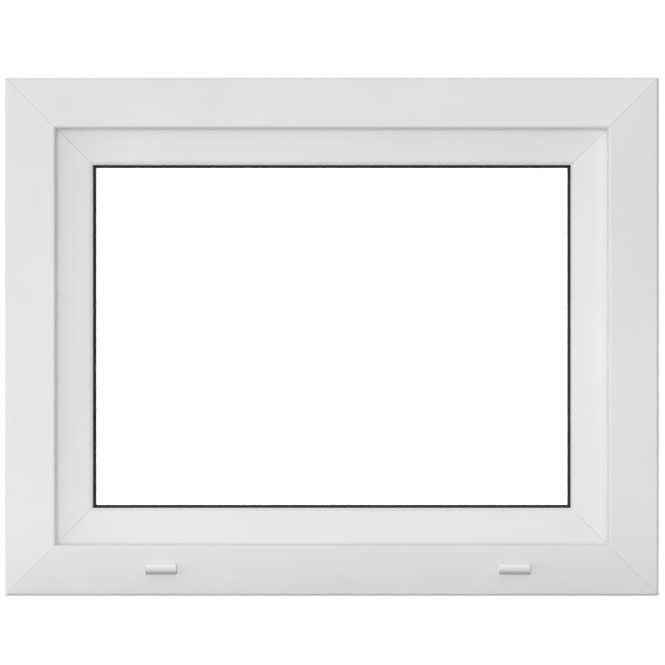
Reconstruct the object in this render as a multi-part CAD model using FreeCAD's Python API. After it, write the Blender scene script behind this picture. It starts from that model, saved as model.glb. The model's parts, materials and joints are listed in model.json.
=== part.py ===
import FreeCAD, Part
import math
import os

os.makedirs("parts", exist_ok=True)
V = FreeCAD.Vector

# Inward-opening tilt-and-turn window of mitred hollow plastic sections, in millimetres.
# X runs right as seen from outside, Y runs inwards through the wall, Z runs up.
# The origin is the middle of the underside of the outer frame.
# Sections are drawn in u, inwards from the outer perimeter, and v, inwards from the lip's face.

frameWidth = 820.0
frameHeight = 650.0
frameDepth = 70.0

# outer frame section
faceFall = 3.0            # the outside face falls this far from the lip to the wall
frameBody = 45.0
lipReach = 64.0
lipDepth = 14.0
lipRadius = 3.5
outerRadius = 4.0
edgeRadius = 2.0
wall = 3.0
web = 2.0
steelMargin = 10.0         # from the lip, and from the inner face, to the chamber for the steel
steelWall = 1.5
steelPlay = 0.4

# sash section
rebateGap = 12.0
stopGap = 4.0
sashBody = 34.0
overlap = 8.0
flangeGap = 3.0
flangeDepth = 15.0
legReach = 18.0
legDepth = 17.0
legFall = 2.8             # the outside face of the sash falls this far towards the glass
nosing = 3.5              # width of the stepped edge beside the glass
nosingStep = 0.5
grooveBack = 28.0         # middle of the hardware groove from the sash's inner face
plateWidth = 16.0
plateRecess = 3.0
grooveWidth = 12.0
grooveDepth = 8.0

# glazing
outerGasket = 3.5
paneThickness = 4.0
cavity = 16.0
innerGasket = 3.0
glassPlay = 5.0
packerLength = 80.0
packerSetback = 60.0
beadSlope = 13.0

# welded corners
seamHalfWidth = 0.5
seamDepth = 0.25
steelSetback = 3.0

# fixings through the jambs and drain slots in the sill
fixingRadius = 4.0
fixingSetback = 150.0
drainFromLeft = 196.0
drainFromRight = 181.0
drainHeight = 34.0
capLength = 39.0
capHeight = 13.5
capReach = 8.0
capMouth = 1.9            # how far the hood's lower edge stands off the sill
capBevel = 2.4
capRound = 10.5           # radius of the hood's front, which turns under towards the mouth
capWall = 1.0

# hinges on the right, seen from outside
hingeIn = 27.0            # turn axis, in from the frame's outer edge
hingeRise = 10.0          # turn axis, in front of the frame's inner face
pinRadius = 4.0
pinPlay = 0.05
barrelRadius = 7.0
tiltHeight = 29.0
trunnionRadius = 3.0
bracketPlate = 3.0
bracketWidth = 16.0
armLength = 280.0
armWidth = 14.0
armThickness = 2.5
stayPinRadius = 3.0
runningGap = 0.3

# locking gear on the left
rodWidth = 9.0
rodThickness = 2.2
rodTravel = 18.0
camRadius = 4.0
camStemRadius = 3.0
rivetRadius = 2.0
camTipGap = 1.0
keeperPlate = 2.5
keeperHalf = 10.0
keeperWall = 3.0
keeperRise = 5.5
camSetback = 200.0
topCamSetback = 210.0
tiltCamSetback = 160.0
gearTeeth = 16
toothRise = 0.75
toothSink = 1.2
toothHalf = 0.95
flank = math.tan(math.radians(25))
caseHalf = 60.0
caseWall = 1.2
backset = 18.0            # handle spindle, in from the sash's edge
cornerLeg = 70.0
spindle = 7.0

# handle
baseWidth = 30.0
baseHeight = 66.0
baseDepth = 7.0
coverDepth = 3.0
neckRadius = 9.0
neckRise = 20.0
gripHalf = 32.0            # half length of the wing, which stays behind the stile as it turns
gripMiddle = 22.0
gripTip = 15.0
gripDepth = 12.0

# screws
screwRadius = 2.0
headRadius = 3.75
headDepth = 2.0

# places that follow from the sizes above
sashEdge = frameBody + rebateGap
sashFront = lipDepth + stopGap
flangeEdge = frameBody - overlap
flangeFront = frameDepth + flangeGap
sashBack = flangeFront + flangeDepth
glazingFloor = sashEdge + sashBody
legTip = glazingFloor + legReach
legBack = sashFront + legDepth
groove = sashBack - grooveBack
recessFloor = sashEdge + plateRecess
grooveFloor = recessFloor + grooveDepth
plateFace = recessFloor - plateRecess + 0.5
rodFace = recessFloor + runningGap
glassEdge = glazingFloor + glassPlay
outerPane = legBack + outerGasket
cavityFront = outerPane + paneThickness
innerPane = cavityFront + cavity
innerGasketFront = innerPane + paneThickness
beadFront = innerGasketFront + innerGasket
steelFront = lipDepth + steelMargin
steelBack = frameDepth - steelMargin
fixingDepth = (steelFront + steelBack) / 2
hingeV = frameDepth + hingeRise
camTip = frameBody + keeperPlate + camTipGap
gearPitch = rodTravel / (math.pi / 2)
spindleU = sashEdge + backset
handleZ = frameHeight / 2
leftEdge = -frameWidth / 2
lowerCam = camSetback
upperCam = frameHeight - camSetback
topCam = leftEdge + topCamSetback
tiltCam = leftEdge + tiltCamSetback
stayPinX = frameWidth / 2 - hingeIn - armLength
sides = ["head", "sill", "left", "right"]


def point(side, u, v, along):
    places = {
        "left": V(-frameWidth / 2 + u, v - frameDepth / 2, along),
        "right": V(frameWidth / 2 - u, v - frameDepth / 2, along),
        "sill": V(along, v - frameDepth / 2, u),
        "head": V(along, v - frameDepth / 2, frameHeight - u),
    }
    return places[side]


def ends(side):
    if side in ("left", "right"):
        return 0.0, frameHeight
    return -frameWidth / 2, frameWidth / 2


def block(side, u0, u1, v0, v1, first, last):
    one = point(side, u0, v0, first)
    two = point(side, u1, v1, last)
    low = V(min(one.x, two.x), min(one.y, two.y), min(one.z, two.z))
    return Part.makeBox(abs(one.x - two.x), abs(one.y - two.y), abs(one.z - two.z), low)


def peg(radius, start, end):
    return Part.makeCylinder(radius, (end - start).Length, start, end - start)


def pegAcross(side, radius, u0, u1, v, along):
    return peg(radius, point(side, u0, v, along), point(side, u1, v, along))


def pegDeep(side, radius, v0, v1, u, along):
    return peg(radius, point(side, u, v0, along), point(side, u, v1, along))


def pegAlong(side, radius, first, last, u, v):
    return peg(radius, point(side, u, v, first), point(side, u, v, last))


def roundedWire(place, outline):
    # each corner is (a, b) or (a, b, radius) and place turns a flat vector into a point
    stretches = []
    for index, corner in enumerate(outline):
        here = V(corner[0], corner[1], 0)
        before = V(*outline[index - 1][:2], 0)
        after = V(*outline[(index + 1) % len(outline)][:2], 0)
        radius = corner[2] if len(corner) > 2 else 0
        toBefore = (before - here).normalize()
        toAfter = (after - here).normalize()
        half = toBefore.getAngle(toAfter) / 2
        reach = radius / math.tan(half)
        middle = here + (toBefore + toAfter).normalize() * (radius / math.sin(half) - radius)
        stretches.append((here + toBefore * reach, middle, here + toAfter * reach, radius))
    edges = []
    for index, (start, middle, end, radius) in enumerate(stretches):
        if radius > 0:
            edges.append(Part.Arc(place(start), place(middle), place(end)).toShape())
        following = stretches[(index + 1) % len(stretches)][0]
        if (following - end).Length > 1e-6:
            edges.append(Part.makeLine(place(end), place(following)))
    return Part.Wire(edges)


def prism(side, outline, first, last):
    def place(flat):
        return point(side, flat.x, flat.y, first)
    run = point(side, 0, 0, last) - point(side, 0, 0, first)
    return Part.Face(roundedWire(place, outline)).extrude(run)


def plate(outline, y0, y1):
    # outline in x and z, thickness from y0 to y1
    def place(flat):
        return V(flat.x, y0, flat.y)
    return Part.Face(roundedWire(place, outline)).extrude(V(0, y1 - y0, 0))


def rectangle(u0, u1, v0, v1):
    return [(u0, v0), (u1, v0), (u1, v1), (u0, v1)]


def mitred(side, solid):
    first, last = ends(side)
    reach = legTip + 20
    corners = [
        point(side, 0, -frameDepth, first),
        point(side, 0, -frameDepth, last),
        point(side, reach, -frameDepth, last - reach),
        point(side, reach, -frameDepth, first + reach),
    ]
    wedge = Part.Face(Part.makePolygon(corners + corners[:1])).extrude(V(0, 3 * frameDepth, 0))
    return solid.common(wedge)


def member(side, outline, chambers):
    first, last = ends(side)
    solid = prism(side, outline, first, last)
    for chamber in chambers:
        solid = solid.cut(prism(side, chamber, first, last))
    return mitred(side, solid)


def ring(outline):
    strips = [member(side, outline, []) for side in sides]
    return strips[0].fuse(strips[1:]).removeSplitter()


def seams(u0, v0, u1, v1, outward):
    # shallow V grooves along the four mitres, on a face from (u0, v0) to (u1, v1)
    cutters = []
    for side in ("left", "right"):
        for top in (False, True):
            start = point(side, u0, v0, frameHeight - u0 if top else u0)
            end = point(side, u1, v1, frameHeight - u1 if top else u1)
            line = end - start
            across = line.cross(V(0, 1, 0)).normalize() * seamHalfWidth
            out = V(0, outward, 0)
            tips = [start + across * 2 + out * seamDepth,
                    start - across * 2 + out * seamDepth,
                    start - out * seamDepth]
            cutters.append(Part.Face(Part.makePolygon(tips + tips[:1])).extrude(line))
    return Part.makeCompound(cutters)


def screw(head, tip):
    # countersunk screw from the middle of its flush head to its tip
    way = (tip - head).normalize()
    length = (tip - head).Length
    cone = Part.makeCone(headRadius, screwRadius, headDepth, head, way)
    return cone.fuse(Part.makeCylinder(screwRadius, length, head, way)).removeSplitter()


def tube(side, u0, u1, v0, v1, thick, first, last):
    inner = block(side, u0 + thick, u1 - thick, v0 + thick, v1 - thick, first, last)
    return block(side, u0, u1, v0, v1, first, last).cut(inner)


def save(node, *shapes):
    solids = [solid for shape in shapes for solid in shape.Solids]
    for solid in solids:
        if not solid.isValid() or solid.Volume <= 0:
            raise ValueError(node + " holds a bad solid")
    whole = solids[0] if len(solids) == 1 else Part.makeCompound(solids)
    whole.exportStep("parts/" + node + ".step")


# ---- outer frame -------------------------------------------------------------------------

def frameOutline():
    return [
        (0, faceFall, outerRadius),
        (lipReach, 0, lipRadius),
        (lipReach, lipDepth, 1),
        (frameBody, lipDepth),
        (frameBody, frameDepth, edgeRadius),
        (0, frameDepth),
    ]


def frameChambers():
    lipBack = lipDepth - wall
    inner = frameBody - wall
    return [
        [(wall, faceFall + wall), (lipReach - wall, wall + 0.3),
         (lipReach - wall, lipBack), (wall, lipBack)],
        rectangle(wall, inner, lipBack + web, steelFront - web),
        rectangle(wall, inner, steelFront, steelBack),
        rectangle(wall, inner, steelBack + web, frameDepth - wall),
    ]


def fixingHoles(side):
    return [pegAcross(side, fixingRadius, -1, frameBody + 1, fixingDepth, height)
            for height in (fixingSetback, frameHeight - fixingSetback)]


def frameSteel(side):
    first, last = ends(side)
    setback = frameBody + steelSetback
    return tube(side, wall + steelPlay, frameBody - wall - steelPlay, steelFront + steelPlay,
                steelBack - steelPlay, steelWall, first + setback, last - setback)


drainPlaces = [leftEdge + drainFromLeft, frameWidth / 2 - drainFromRight]
slotHalf = capLength / 2 - 6


def drainSlots():
    slots = []
    for x in drainPlaces:
        slots.append(block("sill", drainHeight - 3, drainHeight + 2, -5, lipDepth - wall - 3,
                           x - slotHalf, x + slotHalf))
        slots.append(block("sill", drainHeight - 10, drainHeight - 5, lipDepth - wall - 1,
                           lipDepth - wall + web + 1, x - slotHalf - 60, x + slotHalf - 60))
        slots.append(block("sill", frameBody - wall - 1, frameBody + 1, lipDepth + 1,
                           lipDepth + 6, x - slotHalf + 60, x + slotHalf + 60))
    return slots


def drainCap(x):
    # a hood with an open underside, and two legs that clip into the slot
    tilt = math.degrees(math.atan2(faceFall, lipReach))
    half = capLength / 2
    high = capHeight / 2
    hood = [(-high, 0), (high, 0), (high, -capReach + capBevel), (high - capBevel, -capReach, 1),
            (-high + 2.85, -capReach + 0.7, capRound), (-high, -capMouth, 0.4)]

    def place(flat):
        return V(-half, flat.y, flat.x)
    section = Part.Face(roundedWire(place, hood))
    shell = section.extrude(V(capLength, 0, 0))
    corners = [edge for edge in shell.Edges
               if abs(abs(edge.CenterOfMass.x) - half) < 0.01 and edge.CenterOfMass.y < -capMouth - 0.5]
    shell = shell.makeFillet(0.8, corners)
    width = capLength - 2 * capWall
    inside = section.makeOffset2D(-capWall).extrude(V(width, 0, 0))
    inside.translate(V(capWall, 0, 0))
    back = Part.makeBox(width, 2 * capWall + 1, capHeight - 2 * capWall,
                        V(-half + capWall, -2 * capWall, -high + capWall))
    mouth = Part.makeBox(width, capMouth - capWall + 1, 2 * capWall,
                         V(-half + capWall, -capMouth + capWall, -high - capWall / 2))
    shell = shell.cut([inside, back, mouth])
    for end in (-1, 1):
        leg = Part.makeBox(3, 6 + capReach * 0.77, 2.6,
                           V(end * (slotHalf - 1.6) - 1.5, -capReach * 0.77, -1.2))
        shell = shell.fuse(leg)
    shell = shell.removeSplitter()
    shell.rotate(V(0, 0, 0), V(1, 0, 0), tilt)
    faceV = faceFall * (1 - drainHeight / lipReach)
    shell.translate(point("sill", drainHeight, faceV, x))
    return shell


# ---- keepers on the frame -----------------------------------------------------------------

def keeper(side, along, wallFront, wallBack, rise):
    plateHalf = keeperHalf + 12
    top = frameBody + keeperPlate
    body = block(side, frameBody, top, groove - 8, wallBack, along - plateHalf, along + plateHalf)
    catch = block(side, top, top + rise, wallFront, wallBack, along - keeperHalf, along + keeperHalf)
    return body.fuse(catch).removeSplitter()


def keeperScrews(side, along):
    offset = keeperHalf + 6
    depth = groove - 5
    return [screw(point(side, frameBody + keeperPlate, depth, along + shift),
                  point(side, frameBody - 8, depth, along + shift)) for shift in (-offset, offset)]


catchFront = groove + camRadius + runningGap
tiltCatchFront = frameDepth - 2.1
keeperSpots = {
    "keeper_lock_lower": ("left", lowerCam + rodTravel, catchFront, catchFront + keeperWall, keeperRise),
    "keeper_lock_upper": ("left", upperCam + rodTravel, catchFront, catchFront + keeperWall, keeperRise),
    "keeper_top": ("head", topCam + rodTravel, catchFront, catchFront + keeperWall, keeperRise),
    "keeper_tilt": ("sill", tiltCam + rodTravel, tiltCatchFront, frameDepth, 3.5),
}
keeperFixings = {name: keeperScrews(spot[0], spot[1]) for name, spot in keeperSpots.items()}


# ---- hinge brackets on the right jamb -----------------------------------------------------

plateU0 = 8.0
plateU1 = plateU0 + bracketWidth
bottomPlate = (8.0, 62.0)
bottomLug = (12.0, 18.0)
armLevel = frameHeight - frameBody - 7
strapTop = armLevel + 6
topBarrel = (armLevel - 10, strapTop)
topLugs = [(topBarrel[0] - 10, topBarrel[0] - 2), (topBarrel[1] + 2, topBarrel[1] + 8)]
topPlate = (topLugs[0][0] - 3, topLugs[1][1] + 28)
bracketBack = frameDepth + bracketPlate


def lug(low, high):
    reach = hingeIn + barrelRadius
    nose = hingeV + barrelRadius
    outline = [(plateU0 + 2, bracketBack - 1), (reach, bracketBack - 1, 2), (reach, nose, 6.9),
               (hingeIn - barrelRadius, nose, 6.9), (plateU0 + 2, bracketBack + 4)]
    return prism("right", outline, low, high)


def bracket(plateSpan, lugs, screws):
    body = block("right", plateU0, plateU1, frameDepth, bracketBack, plateSpan[0], plateSpan[1])
    for low, high in lugs:
        body = body.fuse(lug(low, high))
    body = body.removeSplitter()
    body = body.cut(pegAlong("right", pinRadius, plateSpan[0] - 5, plateSpan[1] + 5, hingeIn, hingeV))
    for piece in screws:
        body = body.cut(piece)
    return body


def bracketScrews(heights):
    middle = (plateU0 + plateU1) / 2
    return [screw(point("right", middle, bracketBack, height),
                  point("right", middle, bracketBack - 16, height)) for height in heights]


bottomScrews = bracketScrews((30.0, 52.0))
topScrews = bracketScrews((topPlate[0] + 15, topPlate[1] - 8))

# ---- sash ---------------------------------------------------------------------------------


def sashOutline():
    return [
        (sashEdge, sashFront, 1),
        (legTip - nosing, sashFront + legFall),
        (legTip - nosing + 0.5, sashFront + legFall + nosingStep),
        (legTip, sashFront + legFall + nosingStep + 0.8, 0.8),
        (legTip, legBack),
        (glazingFloor, legBack),
        (glazingFloor, sashBack),
        (flangeEdge, sashBack, 4),
        (flangeEdge, flangeFront, 1),
        (sashEdge, flangeFront),
        (sashEdge, groove + plateWidth / 2),
        (recessFloor, groove + plateWidth / 2),
        (recessFloor, groove + grooveWidth / 2),
        (grooveFloor, groove + grooveWidth / 2),
        (grooveFloor, groove - grooveWidth / 2),
        (recessFloor, groove - grooveWidth / 2),
        (recessFloor, groove - plateWidth / 2),
        (sashEdge, groove - plateWidth / 2),
    ]


sashInner = glazingFloor - wall
sashSteelFront = legBack - 1
sashSteelBack = groove - plateWidth / 2 - web
flangeChamberFront = flangeFront + wall


def sashChambers():
    outer = sashEdge + wall
    return [
        [(outer, sashFront + wall + 0.3), (legTip - wall - 0.5, sashFront + legFall + wall + 0.2),
         (legTip - wall - 0.5, legBack - wall), (outer, legBack - wall)],
        rectangle(outer, sashInner, sashSteelFront, sashSteelBack),
        rectangle(grooveFloor + web, sashInner, groove - plateWidth / 2, sashBack - wall),
        rectangle(flangeEdge + wall, grooveFloor, flangeChamberFront, sashBack - wall),
    ]


def sashSteel(side):
    first, last = ends(side)
    setback = glazingFloor + steelSetback
    return tube(side, sashEdge + wall + steelPlay, sashInner - steelPlay, sashSteelFront + steelPlay,
                sashSteelBack - steelPlay, steelWall, first + setback, last - setback)


def bead(side):
    outline = [(glazingFloor, beadFront), (legTip, beadFront, 1), (legTip, beadFront + 5, 2),
               (legTip - beadSlope, sashBack, 2), (glazingFloor, sashBack)]
    hollow = [(glazingFloor + 1.5, beadFront + 1.5), (legTip - 2.5, beadFront + 1.5),
              (legTip - 2.5, beadFront + 4), (legTip - beadSlope - 1.5, sashBack - 2.5),
              (glazingFloor + 1.5, sashBack - 2.5)]
    return member(side, outline, [hollow])


def packers():
    blocks = []
    for side in sides:
        first, last = ends(side)
        near = first + glassEdge + packerSetback
        far = last - glassEdge - packerSetback - packerLength
        for start in (near, far):
            blocks.append(block(side, glazingFloor, glassEdge, outerPane + 1, innerGasketFront - 1,
                                start, start + packerLength))
    return blocks


def pane(front):
    half = frameWidth / 2 - glassEdge
    return Part.makeBox(2 * half, paneThickness, frameHeight - 2 * glassEdge,
                        V(-half, front - frameDepth / 2, glassEdge))


# ---- locking gear in the groove of the sash ------------------------------------------------

def faceplate(side, first, last, slots, screws):
    half = plateWidth / 2 - 0.2
    body = block(side, plateFace, recessFloor, groove - half, groove + half, first, last)
    for middle, reach, width in slots:
        body = body.cut(block(side, plateFace - 1, recessFloor + 1, groove - width / 2,
                              groove + width / 2, middle - reach, middle + reach))
    for piece in screws:
        body = body.cut(piece)
    return body


def plateScrew(side, along):
    return screw(point(side, plateFace, groove, along), point(side, grooveFloor + web + 4, groove, along))


def rod(side, first, last, cams):
    half = rodWidth / 2
    body = block(side, rodFace, rodFace + rodThickness, groove - half, groove + half, first, last)
    for along in cams:
        body = body.cut(pegAcross(side, rivetRadius, rodFace - 1, rodFace + rodThickness + 1, groove, along))
    return body


def cam(side, along):
    roller = pegAcross(side, camRadius, camTip, plateFace - 1, groove, along)
    stem = pegAcross(side, camStemRadius, plateFace - 1, rodFace, groove, along)
    rivet = pegAcross(side, rivetRadius, rodFace, rodFace + rodThickness + 0.8, groove, along)
    return roller.fuse([stem, rivet]).removeSplitter()


def cornerDrive(side, rail, up):
    # an L of two open channels in the groove, in which the rods' ends slide
    far = frameHeight if up else 0.0
    sign = -1 if up else 1
    half = grooveWidth / 2
    cavityHalf = half - caseWall
    start = far + sign * (sashEdge + plateRecess)
    stile = block(side, recessFloor, grooveFloor, groove - half, groove + half,
                  start, start + sign * cornerLeg)
    rail0 = leftEdge + recessFloor
    head = block(rail, recessFloor, grooveFloor, groove - half, groove + half, rail0, rail0 + cornerLeg)
    body = stile.fuse(head)
    body = body.cut(block(side, recessFloor - 1, grooveFloor - caseWall, groove - cavityHalf,
                          groove + cavityHalf, start + sign * 4, start + sign * (cornerLeg + 1)))
    body = body.cut(block(rail, recessFloor - 1, grooveFloor - caseWall, groove - cavityHalf,
                          groove + cavityHalf, rail0 + 4, rail0 + cornerLeg + 1))
    return body.removeSplitter()


def gearboxCase():
    half = grooveWidth / 2
    inner = half - caseWall
    case = block("left", recessFloor, sashInner, groove - half, groove + half,
                 handleZ - caseHalf, handleZ + caseHalf)
    case = case.cut(block("left", recessFloor - 1, sashInner - caseWall, groove - inner, groove + inner,
                          handleZ - caseHalf + 3, handleZ + caseHalf - 3))
    case = case.cut(block("left", recessFloor - 1, rodFace + rodThickness + 3, groove - inner,
                          groove + inner, handleZ - caseHalf - 1, handleZ + caseHalf + 1))
    window = gearPitch + 2
    case = case.cut(block("left", sashInner - caseWall - 1, sashInner + 1, groove - inner, groove + inner,
                          handleZ - window, handleZ + window))
    return case.cut(pegDeep("left", hubRadius + runningGap, groove - half - 1, groove + half + 1,
                            spindleU, handleZ))


hubRadius = 5.6


def toothOutline(reach, half):
    # a tooth along +a, with its pitch line at a = reach
    return [(reach - toothSink, half + toothSink * flank), (reach - toothSink, -half - toothSink * flank),
            (reach + toothRise, -half + toothRise * flank), (reach + toothRise, half - toothRise * flank)]


def pinion():
    centre = point("left", spindleU, groove, handleZ)
    half = rodWidth / 2 - 0.5
    y0 = centre.y - half
    wheel = pegDeep("left", gearPitch - toothSink + 0.1, groove - half, groove + half, spindleU, handleZ)
    teeth = []
    for index in range(gearTeeth):
        tooth = plate(toothOutline(gearPitch, toothHalf), y0, y0 + 2 * half)
        tooth.rotate(V(0, 0, 0), V(0, 1, 0), 180 + 360 / gearTeeth * index)
        tooth.translate(V(centre.x, 0, centre.z))
        teeth.append(tooth)
    hub = pegDeep("left", hubRadius, groove - grooveWidth / 2 + 0.2, groove + grooveWidth / 2 - 0.2,
                  spindleU, handleZ)
    wheel = wheel.fuse(teeth + [hub]).removeSplitter()
    hole = spindle / 2 + pinPlay
    return wheel.cut(block("left", spindleU - hole, spindleU + hole, groove - 10, groove + 10,
                           handleZ - hole, handleZ + hole))


def rack():
    pitch = 2 * math.pi * gearPitch / gearTeeth
    count = 2 * math.ceil((rodTravel + 10) / pitch)
    line = leftEdge + spindleU - gearPitch
    floor = leftEdge + rodFace + rodThickness
    half = rodWidth / 2
    middle = groove - frameDepth / 2
    teeth = []
    for index in range(count):
        z = handleZ + (index - (count - 1) / 2) * pitch
        root = toothHalf + (line - floor) * flank
        tip = toothHalf - toothRise * flank
        outline = [(floor - 0.5, z - root), (line + toothRise, z - tip),
                   (line + toothRise, z + tip), (floor - 0.5, z + root)]
        teeth.append(plate(outline, middle - half, middle + half))
    return teeth


# ---- running gear of the hinges -------------------------------------------------------------

def knuckle():
    low = bottomLug[1] + runningGap
    body = pegAlong("right", barrelRadius, low, low + 32, hingeIn, hingeV)
    body = body.fuse(pegAcross("right", trunnionRadius, hingeIn, eyeEnd + 1, hingeV, tiltHeight))
    return body.cut(pegAlong("right", pinRadius + pinPlay, low - 1, low + 40, hingeIn, hingeV))


eyeStart = hingeIn + barrelRadius + 5.3
eyeEnd = eyeStart + 8
eyeRadius = 6.0
leafEnd = sashEdge - 2
leafTop = 92.0
leafBack = sashBack + bracketPlate


def sashLeaf():
    body = pegAcross("right", eyeRadius, eyeStart, eyeEnd, hingeV, tiltHeight)
    low = tiltHeight - eyeRadius
    body = body.fuse([
        block("right", eyeStart, eyeEnd, hingeV, leafBack, low, tiltHeight + eyeRadius),
        block("right", eyeStart, leafEnd, sashBack, leafBack, low, leafTop),
    ])
    return body.removeSplitter().cut(
        pegAcross("right", trunnionRadius + pinPlay, eyeStart - 1, eyeEnd + 1, hingeV, tiltHeight))


leafScrews = [screw(point("right", (eyeEnd + leafEnd) / 2 - 1, leafBack, height),
                    point("right", (eyeEnd + leafEnd) / 2 - 1, leafBack - 12, height))
              for height in (leafTop - 44, leafTop - 12)]


def stayArm():
    # barrel, a strap that passes under the sash's flange, and a flat arm over the sash
    frontV = frameDepth + runningGap
    backV = flangeFront - runningGap
    strapEnd = sashEdge + 1
    armV0 = groove - armWidth / 2
    armV1 = groove + armWidth / 2
    body = pegAlong("right", barrelRadius, topBarrel[0], topBarrel[1], hingeIn, hingeV)
    body = body.fuse([
        block("right", hingeIn - 1, strapEnd, frontV, backV, armLevel, strapTop),
        block("right", hingeIn - 1, hingeIn + 4, frontV, hingeV - 5, armLevel, strapTop),
        block("right", frameBody + 3, strapEnd, armV0, backV, armLevel, armLevel + armThickness),
        block("right", frameBody + 3, hingeIn + armLength, armV0, armV1, armLevel, armLevel + armThickness),
        pegAlong("right", armWidth / 2, armLevel, armLevel + armThickness, hingeIn + armLength, groove),
    ]).removeSplitter()
    body = body.cut(pegAlong("right", pinRadius + pinPlay, topBarrel[0] - 1, topBarrel[1] + 1,
                             hingeIn, hingeV))
    return body.cut(stayPin())


def stayPin():
    low = frameHeight - grooveFloor + 2
    pin = pegAlong("right", stayPinRadius, low, armLevel + armThickness, hingeIn + armLength, groove)
    return pin.fuse(pegAlong("right", 4.2, armLevel + armThickness, armLevel + armThickness + 1,
                             hingeIn + armLength, groove)).removeSplitter()


def stayGuide():
    half = grooveWidth / 2
    liner = block("head", recessFloor, grooveFloor, groove - half, groove + half,
                  stayPinX - 18, stayPinX + 22)
    return liner.cut(block("head", recessFloor - 1, grooveFloor - 1, groove - half + 1, groove + half - 1,
                           stayPinX - 15, stayPinX + 19))


# ---- handle ---------------------------------------------------------------------------------

handleX = leftEdge + spindleU
baseY = sashBack - frameDepth / 2
coverY = baseY + baseDepth
neckY = coverY + coverDepth + runningGap
gripY = neckY + neckRise


def roundedPlate(y0, y1, shrink):
    half = baseWidth / 2 - shrink
    high = baseHeight / 2 - shrink
    outline = [(handleX - half, handleZ - high, 8), (handleX + half, handleZ - high, 8),
               (handleX + half, handleZ + high, 8), (handleX - half, handleZ + high, 8)]
    return plate(outline, y0, y1)


def handleScrews():
    return [screw(V(handleX, coverY, handleZ + side * 21.5), V(handleX, coverY - 38, handleZ + side * 21.5))
            for side in (-1, 1)]


def spindleHole(radius, y0, y1):
    return peg(radius, V(handleX, y0, handleZ), V(handleX, y1, handleZ))


def handleBase():
    body = roundedPlate(baseY, coverY, 0.8).cut(spindleHole(hubRadius + 0.5, baseY - 1, coverY + 1))
    for piece in handleScrews():
        body = body.cut(piece)
    return body


def handleCover():
    lid = roundedPlate(coverY, coverY + coverDepth, 0)
    rim = [edge for edge in lid.Edges if abs(edge.CenterOfMass.y - coverY - coverDepth) < 0.01]
    lid = lid.makeFillet(1.6, rim)
    return lid.cut(spindleHole(hubRadius + 0.5, coverY - 1, coverY + coverDepth + 1))


def grip():
    # a wing on a neck, with a thumb dimple at the end that points to the hinges when the sash can turn
    ends = gripTip / 2
    rounding = ends - 0.6
    waist = gripMiddle / 2
    outline = [(handleX - gripHalf, handleZ - ends, rounding), (handleX, handleZ - waist, 20),
               (handleX + gripHalf, handleZ - ends, rounding), (handleX + gripHalf, handleZ + ends, rounding),
               (handleX, handleZ + waist, 20), (handleX - gripHalf, handleZ + ends, rounding)]
    wing = plate(outline, gripY, gripY + gripDepth)
    rims = [edge for edge in wing.Edges
            if abs(edge.BoundBox.YMin - edge.BoundBox.YMax) < 0.01]
    wing = wing.makeFillet(3.2, rims)
    wing = wing.cut(Part.makeSphere(7, V(handleX + gripHalf - 10, gripY + gripDepth + 5.8, handleZ)))
    neck = peg(neckRadius, V(handleX, neckY, handleZ), V(handleX, gripY + 5, handleZ))
    collar = peg(neckRadius + 2.5, V(handleX, neckY, handleZ), V(handleX, neckY + 2.5, handleZ))
    body = wing.fuse([neck, collar]).removeSplitter()
    hole = spindle / 2
    return body.cut(Part.makeBox(spindle, spindleEnd - neckY + 1, spindle,
                                 V(handleX - hole, neckY - 1, handleZ - hole)))


spindleEnd = gripY + 2


def spindleBar():
    start = groove - frameDepth / 2 - 4
    return Part.makeBox(spindle, spindleEnd - start, spindle,
                        V(handleX - spindle / 2, start, handleZ - spindle / 2))


# ---- nodes ------------------------------------------------------------------------------------

def buildFrame():
    grooves = [seams(-2, faceFall * (1 + 2 / lipReach), lipReach + 1, -faceFall / lipReach, -1),
               seams(-2, frameDepth, frameBody + 2, frameDepth, 1)]
    names = {"head": "frame_head", "sill": "frame_sill",
             "left": "frame_jamb_left", "right": "frame_jamb_right"}
    cuts = {side: list(grooves) for side in sides}
    steelCuts = {side: [] for side in sides}
    for name, pieces in keeperFixings.items():
        cuts[keeperSpots[name][0]] += pieces
        steelCuts[keeperSpots[name][0]] += pieces
    cuts["right"] += bottomScrews + topScrews
    cuts["head"] += topScrews
    steelCuts["right"] += bottomScrews + topScrews
    cuts["sill"] += drainSlots()
    for side in ("left", "right"):
        cuts[side] += fixingHoles(side)
        steelCuts[side] += fixingHoles(side)
    bars = []
    for side in sides:
        body = member(side, frameOutline(), frameChambers())
        for cutter in cuts[side]:
            body = body.cut(cutter)
        save(names[side], body)
        bar = frameSteel(side)
        for cutter in steelCuts[side]:
            bar = bar.cut(cutter)
        bars.append(bar)
    save("frame_reinforcements", *bars)
    save("frame_stop_gasket", ring([(lipReach - 6, lipDepth), (lipReach + 0.5, lipDepth, 0.4),
                                    (lipReach + 1.6, lipDepth + 1.8, 1.2),
                                    (lipReach, sashFront - 0.35, 1), (lipReach - 6, sashFront - 0.35)]))
    save("drain_cap_left", drainCap(drainPlaces[0]))
    save("drain_cap_right", drainCap(drainPlaces[1]))
    for name, spot in keeperSpots.items():
        body = keeper(*spot)
        for piece in keeperFixings[name]:
            body = body.cut(piece)
        save(name, body)
    save("keeper_screws", *[piece for pieces in keeperFixings.values() for piece in pieces])
    save("hinge_bracket_bottom", bracket(bottomPlate, [bottomLug], bottomScrews))
    save("hinge_bracket_top", bracket(topPlate, topLugs, topScrews))
    save("hinge_bracket_screws", *bottomScrews, *topScrews)
    save("hinge_pin_bottom", pegAlong("right", pinRadius, bottomLug[0] - 2, bottomPlate[1] - 4,
                                      hingeIn, hingeV))
    save("hinge_pin_top", pegAlong("right", pinRadius, topLugs[0][0] - 2, topLugs[1][1] + 2,
                                   hingeIn, hingeV))


def gasketNotch():
    return block("right", flangeEdge - 1, sashEdge + 3, frameDepth - 1, flangeFront + 0.01,
                 armLevel - 1.5, strapTop + 1.5)


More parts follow.
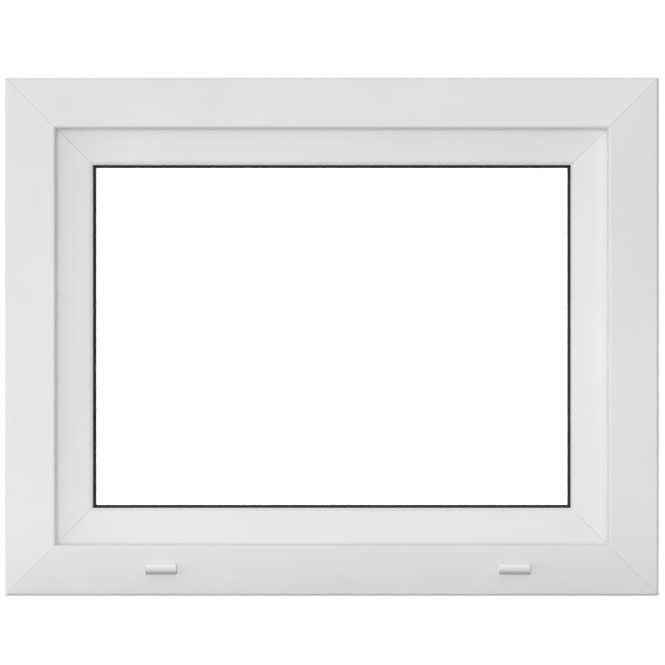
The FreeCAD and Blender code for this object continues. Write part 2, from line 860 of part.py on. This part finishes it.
def buildSash():
    slope = legFall / (legTip - nosing - sashEdge)
    glassSide = sashFront + slope * (legTip - sashEdge)
    grooves = [seams(sashEdge - 1, sashFront - slope, legTip + 1, glassSide, -1),
               seams(flangeEdge - 1, sashBack, glazingFloor + 1, sashBack, 1)]
    names = {"head": "sash_rail_top", "sill": "sash_rail_bottom",
             "left": "sash_stile_lock", "right": "sash_stile_hinge"}
    plateEnd = sashEdge + 3.5
    lockScrews = [plateScrew("left", plateEnd + 6), plateScrew("left", frameHeight - plateEnd - 6)]
    topPlateEnd = stayPinX + 42
    topScrew = plateScrew("head", topPlateEnd - 8)
    bottomPlateEnd = tiltCam + 72
    bottomScrew = plateScrew("sill", bottomPlateEnd - 8)
    mortise = block("left", recessFloor, sashInner, groove - grooveWidth / 2, groove + grooveWidth / 2,
                    handleZ - caseHalf, handleZ + caseHalf)
    cuts = {side: list(grooves) for side in sides}
    passage = spindleHole(hubRadius + 0.5, groove - frameDepth / 2, baseY + 1)
    cuts["left"] += [mortise, passage] + handleScrews() + lockScrews
    cuts["head"] += [topScrew] + lockScrews
    cuts["sill"] += [bottomScrew] + lockScrews
    cuts["right"] += leafScrews
    cuts["sill"] += leafScrews
    for side in sides:
        body = member(side, sashOutline(), sashChambers())
        for cutter in cuts[side]:
            body = body.cut(cutter)
        save(names[side], body)
        save("glazing_bead_" + {"head": "top", "sill": "bottom"}.get(side, side), bead(side))
    save("sash_reinforcements", *[sashSteel(side) for side in sides])
    overlapSeal = ring(rectangle(flangeEdge + 1.5, flangeEdge + 5.5, frameDepth + runningGap, flangeFront))
    save("sash_overlap_gasket", overlapSeal.cut(gasketNotch()))
    save("glazing_gasket_outer", ring([(glazingFloor + 4, legBack), (legTip + 2.6, legBack, 0.8),
                                       (legTip + 3.5, outerPane), (glazingFloor + 6, outerPane)]))
    save("glazing_gasket_inner", ring([(glazingFloor + 6, innerGasketFront), (legTip + 2.4, innerGasketFront),
                                       (legTip + 1.6, beadFront, 0.8), (glazingFloor + 4, beadFront)]))
    save("glass_pane_outer", pane(outerPane))
    save("glass_pane_inner", pane(innerPane))
    save("glass_edge_seal", ring(rectangle(glassEdge, glassEdge + 3, cavityFront, innerPane)))
    spacerIn = glassEdge + 3
    save("glass_spacer", ring([(spacerIn, cavityFront), (spacerIn + 7, cavityFront),
                               (spacerIn + 7, innerPane), (spacerIn, innerPane), (spacerIn, innerPane - 0.8),
                               (spacerIn + 6.2, innerPane - 0.8), (spacerIn + 6.2, cavityFront + 0.8),
                               (spacerIn, cavityFront + 0.8)]))
    save("glazing_packers", *packers())
    slotHalfLength = rodTravel + camStemRadius + 1
    slotWidth = 2 * camStemRadius + 1
    save("faceplate_lock", faceplate("left", plateEnd, frameHeight - plateEnd,
                                     [(lowerCam, slotHalfLength, slotWidth),
                                      (upperCam, slotHalfLength, slotWidth)], lockScrews))
    save("faceplate_top", faceplate("head", leftEdge + plateEnd, topPlateEnd,
                                    [(topCam, slotHalfLength, slotWidth), (stayPinX + 4, 13, 8)],
                                    [topScrew]))
    save("faceplate_bottom", faceplate("sill", leftEdge + plateEnd, bottomPlateEnd,
                                       [(tiltCam, slotHalfLength, slotWidth)], [bottomScrew]))
    save("faceplate_screws", topScrew, bottomScrew, *lockScrews)
    case = gearboxCase()
    for piece in handleScrews():
        case = case.cut(piece)
    save("gearbox_case", case)
    for name, rail, up in (("corner_drive_upper", "head", True), ("corner_drive_lower", "sill", False)):
        drive = cornerDrive("left", rail, up)
        for piece in lockScrews:
            drive = drive.cut(piece)
        save(name, drive)
    save("stay_guide", stayGuide())
    leaf = sashLeaf()
    for piece in leafScrews:
        leaf = leaf.cut(piece)
    save("sash_hinge_leaf", leaf)
    save("sash_leaf_screws", *leafScrews)
    save("handle_base", handleBase())
    save("handle_cover", handleCover())
    save("handle_screws", *handleScrews())


def buildMoving():
    save("handle_grip", grip())
    save("handle_spindle", spindleBar())
    save("gear_pinion", pinion())
    rodSetback = sashEdge + 33
    lockRod = rod("left", rodSetback, frameHeight - rodSetback, (lowerCam, upperCam))
    save("rod_lock", lockRod.fuse(rack()).removeSplitter())
    save("rod_top", rod("head", leftEdge + rodSetback, topCam + 50, (topCam,)))
    save("rod_bottom", rod("sill", leftEdge + rodSetback, tiltCam + 35, (tiltCam,)))
    save("cams_lock", cam("left", lowerCam), cam("left", upperCam))
    save("cam_top", cam("head", topCam))
    save("cam_tilt", cam("sill", tiltCam))
    save("hinge_knuckle", knuckle())
    save("stay_arm", stayArm())
    save("stay_pin", stayPin())


buildFrame()
buildSash()
buildMoving()
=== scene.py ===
import json
import math

import bmesh
import bpy
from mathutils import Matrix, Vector


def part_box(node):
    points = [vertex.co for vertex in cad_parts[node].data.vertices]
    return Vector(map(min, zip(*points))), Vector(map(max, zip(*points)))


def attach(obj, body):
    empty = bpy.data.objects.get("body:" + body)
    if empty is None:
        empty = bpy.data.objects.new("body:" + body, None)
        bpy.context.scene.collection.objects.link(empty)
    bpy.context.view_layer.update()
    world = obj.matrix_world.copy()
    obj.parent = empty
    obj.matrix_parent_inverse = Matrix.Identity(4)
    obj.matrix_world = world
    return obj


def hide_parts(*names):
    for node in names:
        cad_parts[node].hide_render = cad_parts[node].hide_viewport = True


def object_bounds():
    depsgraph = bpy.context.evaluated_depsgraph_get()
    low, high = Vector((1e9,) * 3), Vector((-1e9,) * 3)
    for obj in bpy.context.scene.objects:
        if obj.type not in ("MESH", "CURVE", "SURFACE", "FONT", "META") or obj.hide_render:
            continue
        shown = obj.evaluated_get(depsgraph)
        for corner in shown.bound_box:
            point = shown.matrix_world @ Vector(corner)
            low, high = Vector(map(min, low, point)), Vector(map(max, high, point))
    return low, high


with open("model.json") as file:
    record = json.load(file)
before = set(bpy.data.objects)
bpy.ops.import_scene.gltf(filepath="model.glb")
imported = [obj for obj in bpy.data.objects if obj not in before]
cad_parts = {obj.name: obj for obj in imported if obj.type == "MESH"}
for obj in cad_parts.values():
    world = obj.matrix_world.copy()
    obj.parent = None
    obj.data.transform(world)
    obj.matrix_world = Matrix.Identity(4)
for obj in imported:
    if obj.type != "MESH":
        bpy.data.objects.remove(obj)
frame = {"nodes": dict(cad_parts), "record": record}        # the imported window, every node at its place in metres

cadLow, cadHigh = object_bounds()
centre = (Vector(cadLow) + Vector(cadHigh)) / 2
nodes = frame["nodes"]
slotOf = {part["node"]: part["material_slot"] for part in frame["record"]["subparts"]}
bodyOf = {name: body for body, names in frame["record"]["behaviour"]["bodies"].items() for name in names}
print("window loaded:", len(nodes), "nodes")


class Signal:
    # one socket in a shader, so that shader sums read as they are written
    def __init__(self, shade, socket):
        self.shade = shade
        self.socket = socket

    def __add__(self, other):
        return self.shade.maths("ADD", self, other)

    def __radd__(self, other):
        return self.shade.maths("ADD", other, self)

    def __sub__(self, other):
        return self.shade.maths("SUBTRACT", self, other)

    def __rsub__(self, other):
        return self.shade.maths("SUBTRACT", other, self)

    def __mul__(self, other):
        return self.shade.maths("MULTIPLY", self, other)

    def __rmul__(self, other):
        return self.shade.maths("MULTIPLY", other, self)


class Shade:
    # the nodes of one material, or of the sky
    def __init__(self, name, group=bpy.data.materials, surface="Principled BSDF"):
        self.owner = group.new(name)
        self.owner.use_nodes = True
        self.tree = self.owner.node_tree
        self.surface = self.tree.nodes[surface]

    def node(self, kind, settings=None, values=None, output=0):
        made = self.tree.nodes.new(kind)
        for name, value in (settings or {}).items():
            setattr(made, name, value)
        self.feed(made, values or {})
        return Signal(self, made.outputs[output])

    def feed(self, made, values):
        for name, value in values.items():
            if isinstance(value, Signal):
                self.tree.links.new(value.socket, made.inputs[name])
            else:
                made.inputs[name].default_value = value

    def finish(self, values):
        self.feed(self.surface, values)
        return self.owner

    def maths(self, operation, *values):
        return self.node("ShaderNodeMath", {"operation": operation}, dict(enumerate(values)))

    def places(self):
        return self.node("ShaderNodeTexCoord", output="Object")

    def axis(self, vector, letter):
        return self.node("ShaderNodeSeparateXYZ", values={"Vector": vector}, output=letter)

    def noise(self, scale, detail, roughness=0.5, along=None):
        # along stretches the grain by so much in x, y and z
        spot = self.places()
        if along:
            spot = self.node("ShaderNodeMapping", values={"Vector": spot, "Scale": along})
        return self.node("ShaderNodeTexNoise", values={
            "Vector": spot, "Scale": scale, "Detail": detail, "Roughness": roughness})

    def spread(self, signal, low, high):
        # 0 at low and 1 at high
        return self.node("ShaderNodeMapRange", values={"Value": signal, "From Min": low, "From Max": high})

    def colours(self, factor, first, second):
        return self.node("ShaderNodeMix", {"data_type": "RGBA"}, {0: factor, 6: first, 7: second}, output=2)

    def eyeOrGlass(self):
        # 1 for what is seen directly or through the panes, 0 for the light that falls on the window
        seen = self.node("ShaderNodeLightPath", output="Is Camera Ray")
        return self.maths("MAXIMUM", seen, self.node("ShaderNodeLightPath", output="Is Transmission Ray"))

    def softEdges(self, radius):
        return self.node("ShaderNodeBevel", {"samples": 6}, {"Radius": radius})

    def bump(self, height, depth, normal=None):
        values = {"Height": height, "Distance": depth}
        if normal:
            values["Normal"] = normal
        return self.node("ShaderNodeBump", values=values)


def grey(value, warmth=0.0):
    return (value + warmth, value, value - warmth, 1.0)


def tint(colour, share, lift=0.0):
    return tuple(min(1.0, channel * share + lift) for channel in colour[:3]) + (1.0,)


# In the finishes below, a grain is a noise's scale, its detail and sometimes its roughness. A range holds
# the levels of a grain that count as none and all of it. Depths and radii are in metres.
plastic = {
    "light": grey(0.80, 0.003),
    "shade": grey(0.765, 0.002),
    "cloudGrain": (5.0, 3.0),
    "cloudRange": (0.35, 0.65),
    "dust": grey(0.60, 0.015),
    "dustGrain": (38.0, 6.0, 0.7),
    "dustRange": (0.60, 0.78),
    "dustShare": 0.07,
    "drawnGrain": (420.0, 2.0),
    "drawnDepth": 0.00004,
    "peelGrain": (900.0, 1.0),
    "peelDepth": 0.00003,
    "roughness": 0.36,
    "drawnRoughness": 0.10,
    "dustRoughness": 0.12,
    "coat": 0.06,
    "coatRoughness": 0.22,
    "edgeRadius": 0.0007,
    "alongRail": (0.02, 1.0, 1.0),
    "alongStile": (1.0, 1.0, 0.02),
}


def windowPlastic(name, along):
    # extruded window plastic: a faint drawn grain along the bar, orange peel and a little settled dust
    shade = Shade(name)
    cloud = shade.spread(shade.noise(*plastic["cloudGrain"]), *plastic["cloudRange"])
    drawn = shade.noise(*plastic["drawnGrain"], along=along)
    peel = shade.noise(*plastic["peelGrain"])
    dust = shade.spread(shade.noise(*plastic["dustGrain"]), *plastic["dustRange"])
    body = shade.colours(cloud, plastic["light"], plastic["shade"])
    relief = drawn * plastic["drawnDepth"] + peel * plastic["peelDepth"]
    roughness = plastic["roughness"] + drawn * plastic["drawnRoughness"] + dust * plastic["dustRoughness"]
    return shade.finish({
        "Base Color": shade.colours(dust * plastic["dustShare"], body, plastic["dust"]),
        "Roughness": roughness,
        "Coat Weight": plastic["coat"],
        "Coat Roughness": plastic["coatRoughness"],
        "Normal": shade.bump(relief, 1.0, shade.softEdges(plastic["edgeRadius"])),
    })


moulded = {
    "darkShare": 0.95,
    "cloudGrain": (25.0, 3.0),
    "cloudRange": (0.3, 0.7),
    "peelGrain": (700.0, 2.0),
    "peelDepth": 0.00004,
    "peelRoughness": 0.08,
    "edgeRadius": 0.0006,
}


def mouldedPlastic(name, base, roughness):
    shade = Shade(name)
    peel = shade.noise(*moulded["peelGrain"])
    cloud = shade.spread(shade.noise(*moulded["cloudGrain"]), *moulded["cloudRange"])
    return shade.finish({
        "Base Color": shade.colours(cloud, base, tint(base, moulded["darkShare"])),
        "Roughness": roughness + peel * moulded["peelRoughness"],
        "Normal": shade.bump(peel, moulded["peelDepth"], shade.softEdges(moulded["edgeRadius"])),
    })


cap = {
    "unshaded": grey(0.92),
    # colour of the painted shade at the lower edge of the cap
    "paintedShade": grey(0.38, 0.005),
    "unshadedTop": 0.002,            # height below the top that gets no painted shade
    "evenShare": 0.92,
    "patchShare": 0.08,
    "patchGrain": (60.0, 3.0),
    "patchRange": (0.3, 0.7),
    "roughness": 0.26,
    "bottomRoughness": 0.15,
}


def shadedCapPlastic(name):
    # moulded hood of a drain, with painted shade darkening it towards its lower edge
    low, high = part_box("drain_cap_left")
    shade = Shade(name)
    lowness = shade.spread(shade.axis(shade.places(), "Z"), high.z - cap["unshadedTop"], low.z)
    patches = shade.spread(shade.noise(*cap["patchGrain"]), *cap["patchRange"])
    # painted shade, strongest at the lower edge of the cap, with faint random patches in it
    stainAndShade = lowness * lowness * (cap["evenShare"] + patches * cap["patchShare"])
    peel = shade.noise(*moulded["peelGrain"])
    return shade.finish({
        "Base Color": shade.colours(stainAndShade, cap["unshaded"], cap["paintedShade"]),
        "Roughness": cap["roughness"] + lowness * cap["bottomRoughness"] + peel * moulded["peelRoughness"],
        "Normal": shade.bump(peel, moulded["peelDepth"], shade.softEdges(moulded["edgeRadius"])),
    })


rubber = {
    "bloomShare": 0.5,
    "bloomTint": (1.5, 0.02),
    "bloomGrain": (60.0, 5.0, 0.65),
    "bloomRange": (0.45, 0.75),
    "bloomRoughness": 0.15,
    "skinGrain": (1500.0, 2.0),
    "skinDepth": 0.00006,
    "gloss": 0.35,
}


def seal(name, base, roughness):
    # soft extruded seal with a dull bloom on it
    shade = Shade(name)
    bloom = shade.spread(shade.noise(*rubber["bloomGrain"]), *rubber["bloomRange"])
    skin = shade.noise(*rubber["skinGrain"])
    return shade.finish({
        "Base Color": shade.colours(bloom * rubber["bloomShare"], base, tint(base, *rubber["bloomTint"])),
        "Roughness": roughness + bloom * rubber["bloomRoughness"],
        "Specular IOR Level": rubber["gloss"],
        "Normal": shade.bump(skin, rubber["skinDepth"]),
    })


glass = {
    "colour": (0.985, 0.995, 0.99, 1.0),
    "smearGrain": (14.0, 5.0),
    "smearAlong": (1.0, 1.0, 0.35),
    "smearRange": (0.5, 0.8),
    "smearRoughness": 0.012,
    "bend": 1.5,
}


def floatGlass(name):
    shade = Shade(name)
    smear = shade.spread(shade.noise(*glass["smearGrain"], along=glass["smearAlong"]), *glass["smearRange"])
    return shade.finish({
        "Base Color": glass["colour"],
        "Roughness": smear * glass["smearRoughness"],
        "IOR": glass["bend"],
        "Transmission Weight": 1.0,
    })


zinc = {
    "crystals": 160.0,
    "darkShare": 0.72,
    "rolledGrain": (600.0, 3.0),
    "rolledAlong": (1.0, 6.0, 1.0),
    "rolledDepth": 0.00003,
    "rolledRoughness": 0.12,
    "stainGrain": (30.0, 4.0),
    "stainRange": (0.5, 0.8),
    "stainShare": 0.25,
    "flakeRoughness": 0.2,
    "edgeRadius": 0.0003,
}


def zincSteel(name, base, roughness, spangle):
    # passivated or galvanised sheet: fine grain with a crystal pattern where it was dipped
    shade = Shade(name)
    crystals = {"Vector": shade.places(), "Scale": zinc["crystals"]}
    cells = shade.node("ShaderNodeTexVoronoi", values=crystals, output="Color")
    flake = shade.node("ShaderNodeSeparateColor", values={"Color": cells})
    rolled = shade.noise(*zinc["rolledGrain"], along=zinc["rolledAlong"])
    stainAndShade = shade.spread(shade.noise(*zinc["stainGrain"]), *zinc["stainRange"])
    dull = flake * (zinc["flakeRoughness"] * spangle) + rolled * zinc["rolledRoughness"]
    return shade.finish({
        "Base Color": shade.colours(flake * spangle + stainAndShade * zinc["stainShare"],
                                    base, tint(base, zinc["darkShare"])),
        "Metallic": 1.0,
        "Roughness": roughness + dull,
        "Normal": shade.bump(rolled, zinc["rolledDepth"], shade.softEdges(zinc["edgeRadius"])),
    })


spacer = {
    "metal": grey(0.78),
    "shadow": grey(0.10),
    "holePitch": 0.004,
    "holeHalf": 0.0005,
    "holeCore": 0.0003,
    "holeRange": (0.70, 0.85),
    "holeDepth": 0.0003,
    "rolledGrain": (500.0, 3.0),
    "rolledShare": 0.1,
    "roughness": 0.32,
    "rolledRoughness": 0.12,
}


def perforatedSpacer(name):
    # rolled strip with a row of fine breathing holes down its middle
    low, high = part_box("glass_spacer")
    shade = Shade(name)
    spot = shade.places()
    along = shade.axis(spot, "X") + shade.axis(spot, "Z")
    wave = shade.maths("SINE", along * (2 * math.pi / spacer["holePitch"]))
    offset = shade.maths("ABSOLUTE", shade.axis(spot, "Y") - (low.y + high.y) / 2)
    row = shade.spread(offset, spacer["holeHalf"], spacer["holeCore"])
    hole = shade.spread(wave, *spacer["holeRange"]) * row
    rolled = shade.noise(*spacer["rolledGrain"])
    return shade.finish({
        "Base Color": shade.colours(hole, spacer["metal"], spacer["shadow"]),
        "Metallic": 1.0,
        "Roughness": spacer["roughness"] + rolled * spacer["rolledRoughness"],
        "Normal": shade.bump(rolled * spacer["rolledShare"] - hole, spacer["holeDepth"]),
    })


powder = {
    "darkShare": 0.96,
    "cloudGrain": (20.0, 2.0),
    "cloudRange": (0.3, 0.7),
    "peelGrain": (1300.0, 2.0),
    "peelDepth": 0.00005,
    "roughness": 0.33,
    "peelRoughness": 0.10,
    "coat": 0.25,
    "coatRoughness": 0.2,
    "edgeRadius": 0.0008,
}


def powderCoat(name, base):
    shade = Shade(name)
    peel = shade.noise(*powder["peelGrain"])
    cloud = shade.spread(shade.noise(*powder["cloudGrain"]), *powder["cloudRange"])
    return shade.finish({
        "Base Color": shade.colours(cloud, base, grey(base[1] * powder["darkShare"])),
        "Roughness": powder["roughness"] + peel * powder["peelRoughness"],
        "Coat Weight": powder["coat"],
        "Coat Roughness": powder["coatRoughness"],
        "Normal": shade.bump(peel, powder["peelDepth"], shade.softEdges(powder["edgeRadius"])),
    })


railPlastic = windowPlastic("railPlastic", plastic["alongRail"])
stilePlastic = windowPlastic("stilePlastic", plastic["alongStile"])
finishes = {
    "upvc_white": railPlastic,
    "cap_white": shadedCapPlastic("capPlastic"),
    "gasket_grey": seal("stopSeal", grey(0.86), 0.5),
    "gasket_black": seal("blackSeal", grey(0.008), 0.55),
    "edge_sealant": seal("edgeSealant", grey(0.02), 0.6),
    "glass_clear": floatGlass("clearGlass"),
    "spacer_aluminium": perforatedSpacer("spacerMetal"),
    "packer_blue": mouldedPlastic("packerPlastic", (0.05, 0.16, 0.42, 1.0), 0.4),
    "steel_galvanised": zincSteel("dippedSteel", grey(0.55), 0.38, 0.8),
    "steel_silver": zincSteel("silverSteel", grey(0.66), 0.28, 0.15),
    "hinge_silver": zincSteel("hingeMetal", grey(0.70), 0.25, 0.08),
    "screw_zinc": zincSteel("screwZinc", (0.66, 0.65, 0.60, 1.0), 0.25, 0.1),
    "handle_white": powderCoat("handleCoat", grey(0.80, 0.004)),
    "cover_white": mouldedPlastic("coverPlastic", grey(0.80, 0.003), 0.25),
}
uprights = ("jamb", "stile", "bead_left", "bead_right")
for name, node in nodes.items():
    finish = finishes[slotOf[name]]
    if finish is railPlastic and any(word in name for word in uprights):
        finish = stilePlastic
    for place in node.material_slots:
        place.material = finish
print("finishes set on", len(nodes), "nodes")


screwCut = {
    "sides": 24,
    "crossReach": 0.0021,      # of each arm of the driver's cross
    "crossHalf": 0.0005,
    "crossDepth": 0.0013,
    "crossTaper": 0.75,
    "rim": 0.00015,
    "headDepth": 0.002,
    "threadPitch": 0.0016,
    "threadDepth": 0.00045,
    "stepsPerTurn": 6,
    "point": 0.003,
    "pointShare": 0.12,
    "sharpAngle": math.radians(40),
    "mergeGap": 1e-6,
    "levelGap": 1e-5,
}


def separateSolids(mesh):
    # corners of each solid in a node's mesh, which stays as it is
    shape = bmesh.new()
    shape.from_mesh(mesh)
    bmesh.ops.remove_doubles(shape, verts=shape.verts, dist=screwCut["mergeGap"])
    found = set()
    solids = []
    for first in shape.verts:
        if first in found:
            continue
        found.add(first)
        group = [first]
        for corner in group:
            for edge in corner.link_edges:
                other = edge.other_vert(corner)
                if other not in found:
                    found.add(other)
                    group.append(other)
        solids.append([corner.co.copy() for corner in group])
    shape.free()
    return solids


def screwPlace(corners):
    # head, direction, length and the radii at both ends, read from one solid
    low = Vector([min(corner[axis] for corner in corners) for axis in range(3)])
    high = Vector([max(corner[axis] for corner in corners) for axis in range(3)])
    size = high - low
    longest = max(range(3), key=lambda axis: size[axis])
    ends = []
    for level in (low[longest], high[longest]):
        place = (low + high) / 2
        place[longest] = level
        reach = max((corner - place).length for corner in corners
                    if abs(corner[longest] - level) < screwCut["levelGap"])
        ends.append((reach, place))
    (tipRadius, tip), (headRadius, head) = sorted(ends, key=lambda end: end[0])
    return head, (tip - head).normalized(), (tip - head).length, headRadius, tipRadius


def crossRadius(angle):
    # outline of the driver's cross, seen from its middle
    turn = (angle + math.pi / 4) % (math.pi / 2) - math.pi / 4
    if abs(math.tan(turn)) < screwCut["crossHalf"] / screwCut["crossReach"]:
        return screwCut["crossReach"] / math.cos(turn)
    return screwCut["crossHalf"] / abs(math.sin(turn))


def screwRings(length, headRadius, shankRadius):
    # depth below the face of the head, and radius at an angle, from the bottom of the cross to the point
    core = shankRadius - screwCut["threadDepth"]
    rim = screwCut["rim"]
    lean = (headRadius - shankRadius) / screwCut["headDepth"]
    pitch = screwCut["threadPitch"]
    start = screwCut["headDepth"] + pitch / 2
    end = length - screwCut["point"]
    count = int((end - start) / pitch * screwCut["stepsPerTurn"])

    def thread(depth):
        def radius(angle):
            lag = (depth / pitch - angle / (2 * math.pi)) % 1.0
            return core + screwCut["threadDepth"] * (1 - abs(2 * lag - 1))
        return depth, radius
    rings = [
        (screwCut["crossDepth"], lambda angle: crossRadius(angle) * screwCut["crossTaper"]),
        (0.0, crossRadius),
        (0.0, lambda angle: headRadius - 2 * rim),
        (rim, lambda angle: headRadius - lean * rim),
        (screwCut["headDepth"], lambda angle: core),
    ]
    rings += [thread(start + (end - start) * step / count) for step in range(count + 1)]
    rings.append((length, lambda angle: core * screwCut["pointShare"]))
    return rings


def addScrew(shape, corners):
    head, way, length, headRadius, shankRadius = screwPlace(corners)
    sideways = way.orthogonal().normalized()
    upward = way.cross(sideways)
    sides = screwCut["sides"]
    loops = []
    for depth, radius in screwRings(length, headRadius, shankRadius):
        loop = []
        for index in range(sides):
            angle = 2 * math.pi * (index + 0.5) / sides
            outward = sideways * math.cos(angle) + upward * math.sin(angle)
            loop.append(shape.verts.new(head + way * depth + outward * radius(angle)))
        loops.append(loop)
    for near, far in zip(loops, loops[1:]):
        for index in range(sides):
            following = (index + 1) % sides
            shape.faces.new((near[index], near[following], far[following], far[index]))
    shape.faces.new(reversed(loops[0]))
    shape.faces.new(loops[-1])


def threadedScrews(node):
    mesh = bpy.data.meshes.new(node + "_threaded")
    shape = bmesh.new()
    solids = separateSolids(nodes[node].data)
    for corners in solids:
        addScrew(shape, corners)
    bmesh.ops.recalc_face_normals(shape, faces=shape.faces)
    shape.to_mesh(mesh)
    shape.free()
    mesh.shade_smooth()
    mesh.set_sharp_from_angle(angle=screwCut["sharpAngle"])
    mesh.materials.append(finishes[slotOf[node]])
    piece = bpy.data.objects.new(mesh.name, mesh)
    bpy.context.scene.collection.objects.link(piece)
    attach(piece, bodyOf[node])
    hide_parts(node)
    return len(solids)


screwNodes = [name for name in sorted(nodes) if name.endswith("_screws")]
screwCount = sum(threadedScrews(name) for name in screwNodes)
print("threaded screws made:", screwCount)


floor = {
    "width": 2.6,
    "depth": 1.5,
    "back": 0.9,
    "drop": 0.0005,
    "rows": 24,
    "light": grey(0.68),
    "shade": grey(0.65),
    "mottleGrain": (3.0, 3.0),
    "roughness": 0.6,
    "mottleRoughness": 0.1,
    "unlit": grey(0.0),
    "white": grey(1.0),
    "glow": 0.95,
}


def paleFloor():
    mesh = bpy.data.meshes.new("floor")
    shape = bmesh.new()
    bmesh.ops.create_grid(shape, x_segments=floor["rows"], y_segments=floor["rows"], size=0.5)
    for corner in shape.verts:
        corner.co.x *= floor["width"]
        corner.co.y = floor["back"] + (corner.co.y - 0.5) * floor["depth"]
        corner.co.z = cadLow[2] - floor["drop"]
    shape.to_mesh(mesh)
    shape.free()
    sheet = bpy.data.objects.new("floor", mesh)
    bpy.context.scene.collection.objects.link(sheet)
    shade = Shade("floorPaint")
    mottle = shade.noise(*floor["mottleGrain"])
    mesh.materials.append(shade.finish({
        "Base Color": shade.colours(mottle, floor["light"], floor["shade"]),
        "Roughness": floor["roughness"] + mottle * floor["mottleRoughness"],
        "Emission Color": shade.colours(shade.eyeOrGlass(), floor["unlit"], floor["white"]),
        "Emission Strength": floor["glow"],
    }))


sky = {
    "light": 0.44,
    "lean": 0.75,              # how much brighter to the left than to the right
    "lift": 0.72,              # how much brighter above than below
    "seen": 1.12,
}


def paleSky():
    # white behind the window, and as a source of light brighter from the left and from above
    shade = Shade("sky", bpy.data.worlds, "Background")
    way = shade.node("ShaderNodeTexCoord", output="Generated")
    light = (1 - shade.axis(way, "X") * sky["lean"] + shade.axis(way, "Z") * sky["lift"]) * sky["light"]
    white = shade.eyeOrGlass()
    bpy.context.scene.world = shade.finish({
        "Color": (1.0, 1.0, 1.0, 1.0),
        "Strength": light * (1 - white) + white * sky["seen"],
    })


lights = {
    "keyLight": {"power": 111.0, "place": (-0.20, -5.3, 0.70), "size": 3.2},
    "sideLight": {"power": 16.0, "place": (-4.0, -1.35, 0.6), "size": 1.2},
    "backLight": {"power": 42.0, "place": (-1.0, 2.1, 3.1), "size": 1.2},
}


def softLight(name, power, place, size):
    lamp = bpy.data.lights.new(name, "AREA")
    lamp.energy = power
    lamp.shape = "DISK"
    lamp.size = size
    stand = bpy.data.objects.new(name, lamp)
    stand.location = place
    stand.rotation_euler = (centre - Vector(place)).to_track_quat("-Z", "Y").to_euler()
    bpy.context.scene.collection.objects.link(stand)


view = {
    "lens": 200.0,
    "sensor": 36.0,
    "distance": 4.62,
    "side": 0.0008,
    "height": 0.330,
    "farthest": 50.0,
}


def frontCamera():
    lens = bpy.data.cameras.new("camera")
    lens.lens = view["lens"]
    lens.sensor_width = view["sensor"]
    lens.clip_end = view["farthest"]
    camera = bpy.data.objects.new("camera", lens)
    camera.location = (view["side"], cadLow[1] - view["distance"], view["height"])
    camera.rotation_euler = (math.radians(90), 0.0, 0.0)
    bpy.context.scene.collection.objects.link(camera)
    bpy.context.scene.camera = camera


bpy.context.scene.view_settings.view_transform = "Standard"
paleFloor()
paleSky()
for name, lamp in lights.items():
    softLight(name, **lamp)
frontCamera()
print("floor, light and camera ready")
